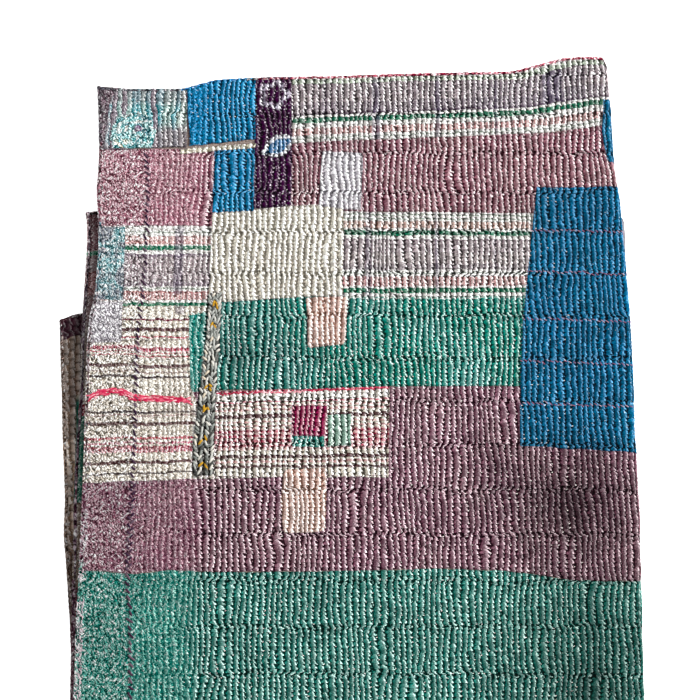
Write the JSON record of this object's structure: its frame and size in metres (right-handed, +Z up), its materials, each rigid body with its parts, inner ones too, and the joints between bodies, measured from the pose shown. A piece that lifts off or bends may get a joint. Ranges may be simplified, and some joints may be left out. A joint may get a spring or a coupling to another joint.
{
  "type": "folded kantha quilt",
  "caption": "Patchwork kantha quilt of stitched cotton layers, folded in half lengthwise and back under itself, lying flat with its ribs running from hem to hem.",
  "frame": {"origin": "centre of the base of the folded quilt's bounding box, on the surface it lies on", "axes": "+X towards the lengthwise fold, +Y towards the front sheet's top hem, +Z up off the surface"},
  "size_m": [0.684, 0.9578, 0.0249],
  "materials": {
    "stitched_cotton": "matte"
  },
  "bodies": {
    "root": {"quilt": "stitched_cotton"}
  },
  "joints": []
}
